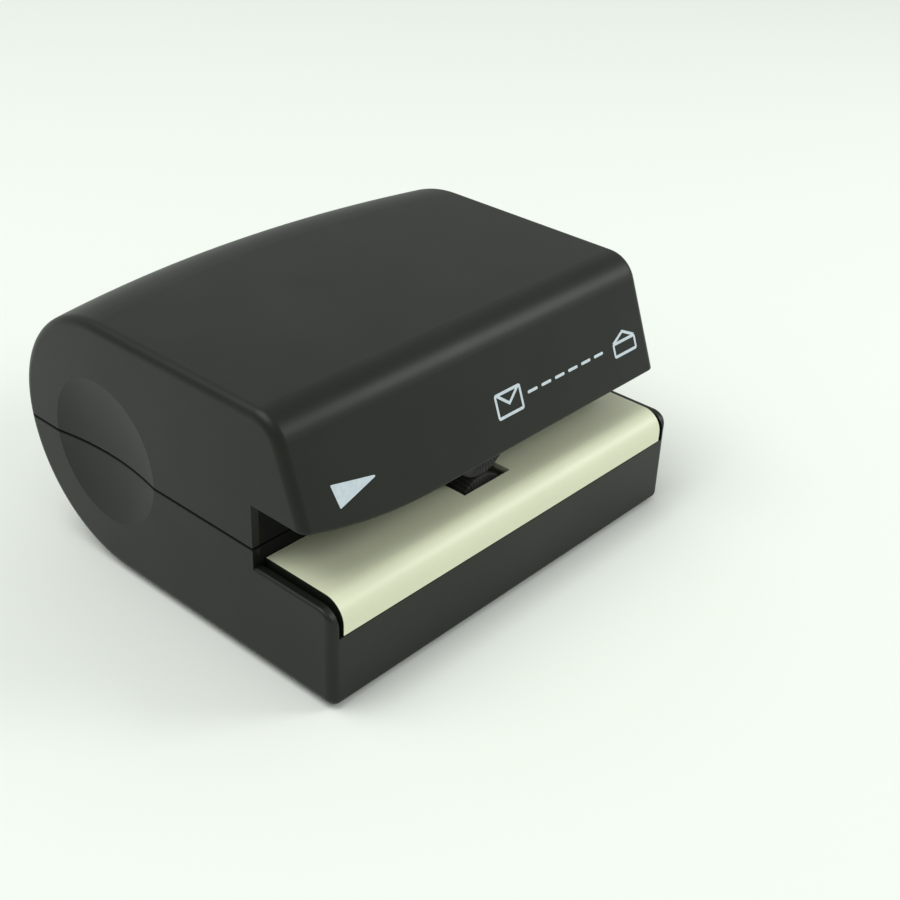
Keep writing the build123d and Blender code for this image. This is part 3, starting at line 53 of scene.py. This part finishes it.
def camera_axes(turn, lift, roll):
    """Right, up and backward directions of a camera turned, lifted and then rolled about its view."""
    back = np.array([sin(turn) * cos(lift), -cos(turn) * cos(lift), sin(lift)])
    right = np.cross(-back, (0.0, 0.0, 1.0))
    right /= np.linalg.norm(right)
    up = np.cross(back, right)
    return cos(roll) * right + sin(roll) * up, cos(roll) * up - sin(roll) * right, back


camera_data = bpy.data.cameras.new("camera")
camera_data.sensor_width = SENSOR_WIDTH
camera_data.lens = CAMERA_FOCAL_PIXELS / PICTURE_PIXELS * SENSOR_WIDTH
camera_data.shift_y = PICTURE_CENTRE_DROP / PICTURE_PIXELS
camera_data.clip_start = 0.01
camera = bpy.data.objects.new("camera", camera_data)
right, up, back = camera_axes(CAMERA_TURN, CAMERA_LIFT, CAMERA_ROLL)
camera.matrix_world = Matrix((
    (right[0], up[0], back[0], CAMERA_PLACE[0]),
    (right[1], up[1], back[1], CAMERA_PLACE[1]),
    (right[2], up[2], back[2], CAMERA_PLACE[2]),
    (0.0, 0.0, 0.0, 1.0),
))
bpy.context.scene.collection.objects.link(camera)
bpy.context.scene.camera = camera
bpy.context.scene.view_settings.view_transform = "Standard"


# The machine stands on a pale seamless floor under soft, even light: a broad lamp high behind it on
# the left, a small one low in front on the right that draws the line along the jaw's crown, and a
# pale room all round.
FLOOR_HALF = 8.0
FLOOR_DROP = 0.05 * MM          # keeps the floor clear of the feet that stand on it
FLOOR_COLOUR = (0.83, 0.87, 0.82)
ROOM_COLOUR = (0.95, 0.985, 0.94)
ROOM_STRENGTH = 0.60


class Value:
    """One output of a node in a finish; each operator on it adds one Math node."""

    def __init__(self, finish, socket):
        self.finish = finish
        self.socket = socket

    def __add__(self, other):
        return self.finish.math("ADD", self, other)

    def __sub__(self, other):
        return self.finish.math("SUBTRACT", self, other)

    def __rsub__(self, other):
        return self.finish.math("SUBTRACT", other, self)

    def __mul__(self, other):
        return self.finish.math("MULTIPLY", self, other)

    __radd__ = __add__
    __rmul__ = __mul__

    def size(self):
        """The value without its sign."""
        return self.finish.math("ABSOLUTE", self)

    def ramp(self, low, high):
        """0 at or below low, 1 at or above high, straight between them."""
        inputs = {"Value": self, "From Min": low, "From Max": high}
        return self.finish.node("ShaderNodeMapRange", {"clamp": True}, inputs)


class Finish:
    """One procedural material on a Principled shader, whose patterns read Object coordinates."""

    def __init__(self, name):
        self.material = bpy.data.materials.new(name)
        self.material.use_nodes = True
        self.tree = self.material.node_tree
        self.shader = self.tree.nodes["Principled BSDF"]
        self.place = self.node("ShaderNodeTexCoord", {}, {}, "Object")

    def node(self, kind, settings, inputs, output=0):
        """Adds a node, applies its settings, then fills its sockets with values or links."""
        node = self.tree.nodes.new(kind)
        for name, value in settings.items():
            setattr(node, name, value)
        self.fill(node, inputs)
        return Value(self, node.outputs[output])

    def fill(self, node, inputs):
        """Links or sets the named sockets of a node; a socket given None keeps its own value."""
        for name, value in inputs.items():
            if isinstance(value, Value):
                self.tree.links.new(value.socket, node.inputs[name])
            elif value is not None:
                node.inputs[name].default_value = value

    def math(self, operation, *inputs):
        """One Math node."""
        return self.node("ShaderNodeMath", {"operation": operation}, dict(enumerate(inputs)))

    def noise(self, size, detail=2.0, stretch=(1.0, 1.0, 1.0)):
        """Soft noise from 0 to 1 whose features are about one size across, in metres."""
        scaled = self.node("ShaderNodeVectorMath", {"operation": "MULTIPLY"}, {0: self.place, 1: stretch})
        return self.node("ShaderNodeTexNoise", {}, {"Vector": scaled, "Scale": 1.0 / size, "Detail": detail})

    def blend(self, share, first, second):
        """A colour between two colours or colour links."""
        settings = {"data_type": "RGBA"}
        first, second = (c if isinstance(c, Value) else (*c, 1.0) for c in (first, second))
        return self.node("ShaderNodeMix", settings, {0: share, 6: first, 7: second}, 2)

    def axis(self, index):
        """X, Y or Z of the place in the piece, in metres."""
        return self.node("ShaderNodeSeparateXYZ", {}, {"Vector": self.place}, index)

    def slab(self, value, low, high, edge=0.05 * MM):
        """1 between two values and 0 beyond them, over a narrow edge."""
        return value.ramp(low - edge, low) * (1.0 - value.ramp(high, high + edge))

    def bump(self, height, depth, strength=1.0, normal=None):
        """A Normal link from a height of 0 to 1 that stands for a depth in metres."""
        inputs = {"Height": height, "Distance": depth, "Strength": strength, "Normal": normal}
        return self.node("ShaderNodeBump", {}, inputs)

    def surface(self, **sockets):
        """Fills the shader's own sockets; base_color fills Base Color."""
        named = {name.replace("_", " ").title(): value for name, value in sockets.items()}
        named = {name.replace("Ior", "IOR"): value for name, value in named.items()}
        self.fill(self.shader, {
            name: (*value, 1.0) if isinstance(value, tuple) else value for name, value in named.items()})
        return self.material


def pale_floor():
    """A flat square just under the feet."""
    mesh = bpy.data.meshes.new("floor")
    corners = FLOOR_HALF * np.array([(-1, -1), (1, -1), (1, 1), (-1, 1)], dtype=float)
    mesh.from_pydata(np.column_stack((corners, np.full(4, -FLOOR_DROP))).tolist(), [], [(0, 1, 2, 3)])
    floor = bpy.data.objects.new("floor", mesh)
    bpy.context.scene.collection.objects.link(floor)
    finish = Finish("floor_paper")
    grain = finish.noise(0.4)
    mesh.materials.append(finish.surface(
        base_color=finish.blend(grain, FLOOR_COLOUR, tuple(0.98 * c for c in FLOOR_COLOUR)),
        roughness=0.8, specular_ior_level=0.2))
    return floor


pale_floor()

world = bpy.data.worlds.new("room")
world.use_nodes = True
room = world.node_tree.nodes["Background"]
room.inputs["Color"].default_value = (*ROOM_COLOUR, 1.0)
room.inputs["Strength"].default_value = ROOM_STRENGTH
bpy.context.scene.world = world


def soft_lamp(name, place, target, size, watts):
    """A square area lamp at a place, facing a target."""
    data = bpy.data.lights.new(name, "AREA")
    data.size = size
    data.energy = watts
    lamp = bpy.data.objects.new(name, data)
    away = np.array(place) - np.array(target)
    away = away / np.linalg.norm(away)
    side = np.cross((0.0, 0.0, 1.0), away)
    side = side / np.linalg.norm(side)
    rise = np.cross(away, side)
    lamp.matrix_world = Matrix([
        (side[k], rise[k], away[k], place[k]) for k in range(3)] + [(0.0, 0.0, 0.0, 1.0)])
    bpy.context.scene.collection.objects.link(lamp)


soft_lamp("key_lamp", (-0.55, 0.35, 1.45), (0.0, 0.0, 0.03), 1.1, 14.0)
soft_lamp("crown_lamp", (0.80, -0.70, 0.62), (0.0, 0.0, 0.03), 0.42, 4.2)

# The two shells and the battery door are injection-moulded in one black plastic. Their moulds were
# spark-eroded, which leaves a fine, even, slightly soft grain; handling has polished it a little. The
# seam's groove and the fence at the back of the throat get painted shade: near black, and duller.
BLACK = (0.0064, 0.0086, 0.0050)
BLACK_WORN = (0.0092, 0.0116, 0.0074)
# painted shade: the near-black colour laid on the seam's groove and on the throat's fence
PAINTED_SHADE_BLACK = (0.0015, 0.0015, 0.0013)
BLACK_ROUGHNESS = 0.40
BLACK_SHEEN = 0.27              # strength of the plain reflection
SPARK_GRAIN = 0.22 * MM
SPARK_DEPTH = 0.012 * MM
SEAM_HALF_GAP = 0.25 * MM
# painted shade reaches this far beyond the seam's groove on each side
SEAM_PAINTED_SHADE_REACH = 0.12 * MM          # how far the groove's dark edge reaches beyond it
SHELL_LOW, SHELL_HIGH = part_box("upper_housing")
SEAM_Z = SHELL_LOW.z - SEAM_HALF_GAP
TRAY_GAP = 0.3 * MM             # between the tray and the fence behind it
FENCE_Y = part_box("chip_tray")[1].y + TRAY_GAP
FENCE_DEPTH = 2.0 * MM
FENCE_LOW_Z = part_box("chip_tray")[0].z
FENCE_TOP_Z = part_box("upper_guide")[1].z
END_WALL = 2.3 * MM
END_WALL_X = SHELL_HIGH.x - END_WALL


def dress(material, *names):
    """Gives CAD nodes a finish in place of their plain one."""
    for name in names:
        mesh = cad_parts[name].data
        mesh.materials.clear()
        mesh.materials.append(material)


def moulded_black(name, colour, worn, roughness, paint_throat_shade):
    """Black plastic: spark grain as bump, faint mottling in colour, patches of handling in gloss; with
    paint_throat_shade, painted shade near black on the seam's groove and on the throat's fence.
    """
    finish = Finish(name)
    grain = finish.noise(SPARK_GRAIN, 3.0)
    mottle = finish.noise(18 * MM, 4.0)
    handling = finish.noise(45 * MM, 3.0).ramp(0.40, 0.75)
    base = finish.blend(mottle.ramp(0.3, 0.75), colour, worn)
    roughness = roughness + 0.06 * grain - 0.05 * handling
    if paint_throat_shade:
        x, y, z = (finish.axis(k) for k in range(3))
        reach = SEAM_HALF_GAP + SEAM_PAINTED_SHADE_REACH
        # painted shade along the seam's groove, a little beyond it, and on the fence at the back of the
        # throat
        groove = finish.slab(z, SEAM_Z - reach, SEAM_Z + reach)
        inside = 1.0 - x.size().ramp(END_WALL_X, END_WALL_X + 0.1 * MM)
        fence_painted_shade = finish.slab(y, FENCE_Y - 0.1 * MM, FENCE_Y + FENCE_DEPTH) * inside
        fence_painted_shade = fence_painted_shade * finish.slab(z, FENCE_LOW_Z, FENCE_TOP_Z, MM)
        painted_shade = finish.math("MAXIMUM", groove, fence_painted_shade)
        base = finish.blend(painted_shade, base, PAINTED_SHADE_BLACK)
        roughness = roughness + 0.4 * painted_shade
    return finish.surface(
        base_color=base, roughness=roughness, specular_ior_level=BLACK_SHEEN,
        normal=finish.bump(grain, SPARK_DEPTH))


shell_black = moulded_black("shell_black", BLACK, BLACK_WORN, BLACK_ROUGHNESS, True)
dress(shell_black, "upper_housing", "lower_housing", "battery_door")

# The guide plate in the slot, the battery tub, the motor's end cap and the roller cores are moulded
# in black too, and left duller, as they come from an unpolished mould.
INNER_BLACK = (0.0050, 0.0050, 0.0045)
INNER_WORN = (0.0085, 0.0085, 0.0080)
INNER_ROUGHNESS = 0.60
inner_black = moulded_black("inner_black", INNER_BLACK, INNER_WORN, INNER_ROUGHNESS, False)
dress(inner_black, "upper_guide", "battery_tub", "motor_cap", "lower_roller_core", "upper_roller_core")

# White ink is printed on the jaw's sloping front: a slim arrow at the entry end that shows which way
# letters go, and a plain line drawing along the middle of a sealed letter, a way and an opened one.
JAW_FOOT_Y = -56.65 * MM        # the sloping face at the height of its foot
JAW_FOOT_Z = 41.2 * MM
JAW_LEAN = 12.1 / 31.8          # depth gained per unit of height
INK_LIFT = 0.02 * MM
INK_THICKNESS = 0.03 * MM
ARROW_CORNERS = ((-56.6, 54.6), (-55.4, 48.6), (-42.1, 51.8))
ARROW_ROUND = 0.25              # millimetres, as the drawing below
LINE_HALF = 0.38
DRAWING_LEFT, DRAWING_RIGHT = 1.5, 61.0
DRAWING_LOW, DRAWING_HIGH = 49.4, 55.2
LETTER_WIDTH = 9.6
FRAME_ROUND = 0.42              # of the pen's own middle line at a letter's corners
FLAP_STAND, FLAP_REACH = 2.4, 2.2
DASH_COUNT = 6
DASH_MARGIN = 3.0               # between a letter and the dashed line
DASH_SHARE = 0.58               # drawn share of every step of the dashed line
CAP_STEPS = 7


def rounded_outline(corners, radius):
    """Each corner of a polygon becomes an arc: points on a circle set back along both its sides."""
    corners = np.array(corners, dtype=float)
    sides = np.stack((np.roll(corners, 1, 0), np.roll(corners, -1, 0))) - corners
    sides /= np.linalg.norm(sides, axis=2, keepdims=True)
    half_angle = np.arccos(np.clip((sides[0] * sides[1]).sum(1), -1, 1))[:, np.newaxis] / 2
    middle = sides.sum(0)
    middle /= np.linalg.norm(middle, axis=1, keepdims=True)
    centres = corners + middle * radius / np.sin(half_angle)
    ends = corners + sides * radius / np.tan(half_angle) - centres
    first, last = np.arctan2(ends[..., 1:], ends[..., :1])
    sweep = (last - first + pi) % (2 * pi) - pi
    turn = first + sweep * np.linspace(0, 1, CAP_STEPS)
    arcs = np.stack((np.cos(turn), np.sin(turn)), axis=-1)
    return (centres[:, np.newaxis] + radius * arcs).reshape(-1, 2)


def stroke(start, end):
    """A straight pen line with round ends: two half circles joined by its sides."""
    start, end = np.array(start), np.array(end)
    way = np.arctan2(*(end - start)[::-1])
    turn = np.linspace(-pi / 2, pi / 2, CAP_STEPS)
    caps = [(end, way + turn), (start, way + pi + turn)]
    return np.concatenate([
        centre + LINE_HALF * np.column_stack((np.cos(angle), np.sin(angle))) for centre, angle in caps])


def one_face(outline):
    """An outline as one flat face."""
    return outline, np.arange(len(outline))[np.newaxis]


def frame_line(left, right, low, top):
    """A rectangle drawn by the pen: square steps between a rounded outline outside and one inside."""
    loops = []
    for grow in (LINE_HALF, -LINE_HALF):
        corners = [(left - grow, low - grow), (right + grow, low - grow),
                   (right + grow, top + grow), (left - grow, top + grow)]
        loops.append(rounded_outline(corners, FRAME_ROUND + grow))
    here = np.arange(len(loops[0]))
    after = np.roll(here, -1)
    count = len(here)
    return np.concatenate(loops), np.column_stack((here, after, after + count, here + count))


def flap_line(first, last, level, tip):
    """A bent pen line: two straight sides from a base to a tip, and the same again one width inside."""
    run, rise = (last - first) / 2, tip - level
    length = np.hypot(run, rise)
    along = 2 * LINE_HALF * length / abs(rise) * np.sign(run)
    across = 2 * LINE_HALF * length / abs(run) * np.sign(rise)
    middle = (first + last) / 2
    return np.array([
        (first, level), (middle, tip), (last, level),
        (last - along, level), (middle, tip - across), (first + along, level)])


def letter_lines(left, opened):
    """A letter seen from the front: its frame, and its flap hanging inside or standing on top."""
    right = left + LETTER_WIDTH
    if opened:
        top = DRAWING_HIGH - FLAP_STAND
        flap = flap_line(right + LINE_HALF, left - LINE_HALF, top + LINE_HALF, DRAWING_HIGH + LINE_HALF)
    else:
        top = DRAWING_HIGH
        flap = flap_line(left + LINE_HALF, right - LINE_HALF, top - LINE_HALF, DRAWING_LOW + FLAP_REACH)
    return [frame_line(left, right, DRAWING_LOW, top), one_face(flap)]


def jaw_print():
    """Flat shapes in X and Z laid on the jaw's face: its depth grows with height by the lean."""
    shapes = [one_face(rounded_outline(ARROW_CORNERS, ARROW_ROUND))]
    shapes += letter_lines(DRAWING_LEFT, False)
    shapes += letter_lines(DRAWING_RIGHT - LETTER_WIDTH, True)
    reach = LETTER_WIDTH + DASH_MARGIN
    dashes = np.linspace(DRAWING_LEFT + reach, DRAWING_RIGHT - reach, DASH_COUNT + 1)
    level = (DRAWING_LOW + DRAWING_HIGH) / 2
    for start, end in zip(dashes, dashes[1:]):
        shapes.append(one_face(stroke((start, level), (start + DASH_SHARE * (end - start), level))))
    flat = np.concatenate([points for points, _ in shapes]) * MM
    depth = JAW_FOOT_Y + (flat[:, 1] - JAW_FOOT_Z) * JAW_LEAN - INK_LIFT
    starts = np.cumsum([0] + [len(points) for points, _ in shapes])
    faces = [face for start, (_, local) in zip(starts, shapes) for face in (local + start).tolist()]
    mesh = bpy.data.meshes.new("jaw_print")
    mesh.from_pydata(np.column_stack((flat[:, 0], depth, flat[:, 1])).tolist(), [], faces)
    print_piece = bpy.data.objects.new("jaw_print", mesh)
    bpy.context.scene.collection.objects.link(print_piece)
    body = print_piece.modifiers.new("body", "SOLIDIFY")
    body.thickness = INK_THICKNESS
    body.offset = -1.0
    return print_piece


def white_ink():
    """Screen-printed white with the grain of the plastic under it and thin, greyer spots."""
    finish = Finish("white_ink")
    spots = finish.noise(1.2 * MM, 3.0).ramp(0.35, 0.75)
    return finish.surface(
        base_color=finish.blend(spots, (0.60, 0.68, 0.74), (0.52, 0.60, 0.66)),
        roughness=0.5 + 0.1 * spots,
        normal=finish.bump(finish.noise(SPARK_GRAIN, 2.0), SPARK_DEPTH))


jaw_marks = jaw_print()
jaw_marks.data.materials.append(white_ink())
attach(jaw_marks, "housing")

# The chip tray is moulded in a smooth, slightly greenish ivory; its side faces, in the narrow gaps, are
# painted black as painted shade. Faint lines along the feed direction show where letters rub.
IVORY = (0.735, 0.765, 0.56)
IVORY_RUBBED = (0.70, 0.73, 0.53)
TRAY_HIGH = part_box("chip_tray")[1]
SIDE_SHADE_BAND = 0.12 * MM           # how far in from each side face the painted shade reaches


def tray_plastic():
    """Ivory plastic with fine rub lines along X and soft mottling; both side faces painted black as painted
    shade.
    """
    finish = Finish("tray_plastic")
    lines = finish.noise(0.9 * MM, 2.0, (0.03, 1.0, 1.0))
    mottle = finish.noise(20 * MM, 3.0)
    # painted shade: the tray's side faces, in the narrow gaps, are coloured black
    side = finish.axis(0).size().ramp(TRAY_HIGH.x - SIDE_SHADE_BAND, TRAY_HIGH.x - SIDE_SHADE_BAND / 2)
    ivory = finish.blend(mottle.ramp(0.25, 0.8), IVORY, IVORY_RUBBED)
    return finish.surface(
        base_color=finish.blend(side, ivory, BLACK),
        roughness=0.36 + 0.12 * lines,
        specular_ior_level=0.5,
        normal=finish.bump(lines, 0.004 * MM))


dress(tray_plastic(), "chip_tray")

# The tyres and the feet are black rubber: dull, dusty with paper fibre, and finely pitted. The tyres
# are ground with narrow grooves all round, so that they bite on paper.
RUBBER = (0.016, 0.016, 0.016)
RUBBER_DUSTY = (0.055, 0.054, 0.050)
GROOVE_DUST = (0.11, 0.105, 0.095)
GROOVE_COUNT = 48
GROOVE_DEPTH = 0.25 * MM


def black_rubber(name, axle_z=None):
    """Matte rubber with dust in soft patches; on a tyre, a wave about its axle makes the grooves."""
    finish = Finish(name)
    dust = finish.noise(4 * MM, 4.0).ramp(0.45, 0.8)
    normal = finish.bump(finish.noise(0.3 * MM, 2.0), 0.03 * MM)
    base = finish.blend(dust, RUBBER, RUBBER_DUSTY)
    if axle_z is not None:
        angle = finish.math("ARCTAN2", finish.axis(2) - axle_z, finish.axis(0))
        groove = finish.math("COSINE", GROOVE_COUNT * angle).ramp(0.2, 0.9)
        base = finish.blend(0.35 * groove, base, GROOVE_DUST)
        normal = finish.bump(1.0 - groove, GROOVE_DEPTH, normal=normal)
    return finish.surface(base_color=base, roughness=0.75 + 0.15 * dust, normal=normal)


dress(black_rubber("foot_rubber"), "rubber_feet")
for tyre in ("lower_roller_tyre", "upper_roller_tyre"):
    low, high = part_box(tyre)
    dress(black_rubber(tyre, (low.z + high.z) / 2), tyre)


# The metal pieces are plain shop metals: ground knives, turned shafts, blanked and plated plates,
# plated screws and brass bushes. Each shows the fine lines of how it was cut.
def shop_metal(name, colour, tarnished, roughness, line_size, stretch):
    """Metal with fine cutting lines, stretched the way the tool went, and faint tarnish."""
    finish = Finish(name)
    lines = finish.noise(line_size, 2.0, stretch)
    tarnish = finish.noise(6 * MM, 4.0).ramp(0.4, 0.8)
    return finish.surface(
        base_color=finish.blend(tarnish, colour, tarnished),
        metallic=1.0,
        roughness=roughness + 0.15 * lines + 0.08 * tarnish,
        normal=finish.bump(lines, 0.006 * MM))


ALONG_X = (0.02, 1.0, 1.0)
EVEN = (1.0, 1.0, 1.0)
knife_steel = shop_metal("knife_steel", (0.62, 0.63, 0.65), (0.50, 0.50, 0.50), 0.22, 0.3 * MM, EVEN)
turned_steel = shop_metal("turned_steel", (0.56, 0.57, 0.58), (0.44, 0.44, 0.43), 0.28, 0.3 * MM, EVEN)
plate_steel = shop_metal("plate_steel", (0.55, 0.56, 0.57), (0.45, 0.45, 0.44), 0.36, 0.5 * MM, ALONG_X)
plated_screw = shop_metal("plated_screw", (0.52, 0.53, 0.56), (0.38, 0.38, 0.38), 0.30, 0.4 * MM, EVEN)
turned_brass = shop_metal("turned_brass", (0.72, 0.50, 0.20), (0.55, 0.36, 0.14), 0.30, 0.3 * MM, EVEN)
spring_strip = shop_metal("spring_strip", (0.66, 0.66, 0.64), (0.52, 0.51, 0.48), 0.30, 0.4 * MM, ALONG_X)
dress(knife_steel, "lower_knife", "upper_knife")
dress(turned_steel, "lower_shaft", "upper_shaft", "lower_shaft_clip", "upper_shaft_clip", "idler_axle",
      "lever_pin", "motor_shaft", "plate_spacers")
dress(plate_steel, "front_plate", "rear_plate", "motor_can")
dress(plated_screw, "guide_screws", "switch_screws", "motor_screws", "spacer_screws", "flange_screws",
      "tub_screws", "housing_screws")
dress(turned_brass, "shaft_bushes", "motor_pinion", "switch_tags", "motor_tags")
dress(spring_strip, "contact_bridge", "contact_front", "contact_rear")


# The gears and collars are moulded in natural nylon; the lever, the switch and its plunger are
# small glossy mouldings.
def small_moulding(name, colour, shaded, roughness):
    """Smooth plastic with faint clouding."""
    finish = Finish(name)
    cloud = finish.noise(3 * MM, 3.0)
    return finish.surface(
        base_color=finish.blend(cloud.ramp(0.3, 0.8), colour, shaded),
        roughness=roughness + 0.08 * cloud,
        normal=finish.bump(finish.noise(0.4 * MM), 0.005 * MM))


nylon = small_moulding("natural_nylon", (0.78, 0.77, 0.70), (0.70, 0.69, 0.61), 0.38)
dress(nylon, "idler_gear", "lower_gear", "upper_gear", "lower_knife_collar", "upper_knife_collar")
dress(small_moulding("lever_black", (0.013, 0.013, 0.013), (0.02, 0.02, 0.02), 0.35), "sensor_lever")
dress(small_moulding("switch_black", (0.012, 0.012, 0.014), (0.02, 0.02, 0.022), 0.28), "switch_body")
dress(small_moulding("plunger_red", (0.45, 0.03, 0.02), (0.36, 0.02, 0.015), 0.3), "switch_plunger")
dress(small_moulding("winding_lacquer", (0.30, 0.10, 0.035), (0.22, 0.07, 0.025), 0.3), "motor_armature")

# The cells have a film jacket, plain here: a dark body and a coppery band towards the raised end,
# which is bare steel. The front row's raised ends point to the entry, the rear row's to the exit.
JACKET_DARK = (0.020, 0.024, 0.030)
JACKET_COPPER = (0.48, 0.22, 0.09)
BARE_STEEL = (0.55, 0.55, 0.56)
BARE_LENGTH = 1.15 * MM         # the raised end and the can's own shoulder
COPPER_LENGTH = 12 * MM


def cell_jacket(name, tip_x, inward):
    """Dark film, a copper band and a bare end, by the distance from the raised tip."""
    finish = Finish(name)
    distance = (finish.axis(0) - tip_x) * inward
    bare = 1.0 - distance.ramp(BARE_LENGTH, BARE_LENGTH + 0.05 * MM)
    band = 1.0 - distance.ramp(COPPER_LENGTH, COPPER_LENGTH + 0.1 * MM)
    scuffs = finish.noise(3 * MM, 4.0, (1.0, 0.15, 1.0)).ramp(0.55, 0.8)
    film = finish.blend(band, JACKET_DARK, JACKET_COPPER)
    return finish.surface(
        base_color=finish.blend(bare, film, BARE_STEEL),
        metallic=finish.math("MAXIMUM", bare, 0.8 * band),
        roughness=0.26 + 0.2 * scuffs,
        normal=finish.bump(finish.noise(0.5 * MM), 0.004 * MM))


for cell in ("cell_front_left", "cell_front_right", "cell_rear_left", "cell_rear_right"):
    low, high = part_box(cell)
    tip_at_exit = cell.startswith("cell_rear")
    dress(cell_jacket(cell, high.x if tip_at_exit else low.x, -1.0 if tip_at_exit else 1.0), cell)
